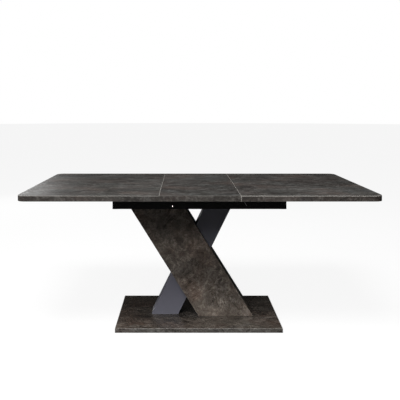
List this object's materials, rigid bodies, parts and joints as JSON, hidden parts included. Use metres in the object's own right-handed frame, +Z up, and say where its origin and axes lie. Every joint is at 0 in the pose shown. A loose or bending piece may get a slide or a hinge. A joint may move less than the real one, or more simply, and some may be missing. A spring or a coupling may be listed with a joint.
{
  "type": "extendable dining table",
  "caption": "Extending dining table: two coupled sliding half tops, a lift-out leaf with locks, a shallow black frame and an X-shaped pedestal on a floor plate.",
  "frame": {"origin": "middle of the footprint on the floor, table extended", "axes": "+X along the table's length, +Y from front to rear, +Z up"},
  "size_m": [1.8, 0.9, 0.754],
  "materials": {
    "stone_laminate": "dark stone-effect laminate, satin",
    "laminate_edging": "matching plastic edge banding, satin",
    "grey_board": "plain graphite laminate, matt",
    "black_board": "black laminate, matt",
    "softwood": "planed softwood",
    "runner_steel": "grey powder coat",
    "channel_steel": "black powder coat",
    "nylon": "natural nylon",
    "rubber": "matt",
    "glide_plastic": "matt",
    "bright_steel": "zinc plated",
    "rack_steel": "plain steel",
    "black_screws": "black oxide"
  },
  "bodies": {
    "underframe": {"base_edge_band": "laminate_edging", "base_glides": "glide_plastic", "base_plate": "stone_laminate", "brace_foot_block": "softwood", "brace_head_block": "softwood", "bright_rail_screw": "bright_steel", "carcass_board": "black_board", "carcass_screws": "bright_steel", "channel_liners": "nylon", "foot_bolts": "bright_steel", "front_inner_channel": "channel_steel", "front_outer_channel": "channel_steel", "front_rail": "black_board", "head_bolts": "bright_steel", "left_end_rail": "black_board", "leg_foot_block": "softwood", "leg_front_panel": "stone_laminate", "leg_head_block": "softwood", "leg_left_board": "stone_laminate", "leg_rear_panel": "stone_laminate", "leg_right_board": "stone_laminate", "lower_brace_front_panel": "grey_board", "lower_brace_left_board": "grey_board", "lower_brace_rear_panel": "grey_board", "lower_brace_right_board": "grey_board", "pinion_axle": "bright_steel", "pinion_bracket": "channel_steel", "rail_screws": "black_screws", "rear_inner_channel": "channel_steel", "rear_outer_channel": "channel_steel", "rear_rail": "black_board", "right_end_rail": "black_board", "stop_buffers": "rubber", "upper_brace_front_panel": "grey_board", "upper_brace_left_board": "grey_board", "upper_brace_rear_panel": "grey_board", "upper_brace_right_board": "grey_board"},
    "left_half": {"left_edge_band": "laminate_edging", "left_inner_runner": "runner_steel", "left_outer_runner": "runner_steel", "left_rack": "rack_steel", "left_rack_spacer": "softwood", "left_screws": "bright_steel", "left_top_panel": "stone_laminate"},
    "right_half": {"right_edge_band": "laminate_edging", "right_inner_runner": "runner_steel", "right_outer_runner": "runner_steel", "right_rack": "rack_steel", "right_rack_spacer": "softwood", "right_screws": "bright_steel", "right_top_panel": "stone_laminate", "lock_pivots": "bright_steel"},
    "leaf": {"leaf_front_band": "laminate_edging", "leaf_lock_studs": "bright_steel", "leaf_panel": "stone_laminate", "leaf_rear_band": "laminate_edging"},
    "pinion": {"pinion": "nylon"},
    "front_lock": {"front_lock_lever": "bright_steel"},
    "rear_lock": {"rear_lock_lever": "bright_steel"}
  },
  "joints": [
    {"name": "left_top_slide", "type": "slide", "parent": "underframe", "child": "left_half", "axis": [1, 0, 0], "range_m": [0, 0.2]},
    {"name": "right_top_slide", "type": "slide", "parent": "underframe", "child": "right_half", "axis": [-1, 0, 0], "range_m": [0, 0.2]},
    {"name": "leaf_lift", "type": "slide", "parent": "underframe", "child": "leaf", "axis": [0, 0, 1], "range_m": [0, 0.5]},
    {"name": "pinion_spin", "type": "hinge", "parent": "underframe", "child": "pinion", "pos_m": [0, 0, 0.7], "axis": [0, 0, 1], "range_deg": [-460, 0]},
    {"name": "front_lock_swing", "type": "hinge", "parent": "right_half", "child": "front_lock", "pos_m": [0.2142, -0.4, 0.72], "axis": [0, 0, 1], "range_deg": [0, 75]},
    {"name": "rear_lock_swing", "type": "hinge", "parent": "right_half", "child": "rear_lock", "pos_m": [0.2142, 0.4, 0.72], "axis": [0, 0, -1], "range_deg": [0, 75]}
  ],
  "couplings": [
    {"joint": "right_top_slide", "follows": "left_top_slide", "ratio": 1},
    {"joint": "leaf_lift", "follows": "left_top_slide", "ratio": 2.5},
    {"joint": "pinion_spin", "follows": "left_top_slide", "rad_per_m": -40}
  ]
}
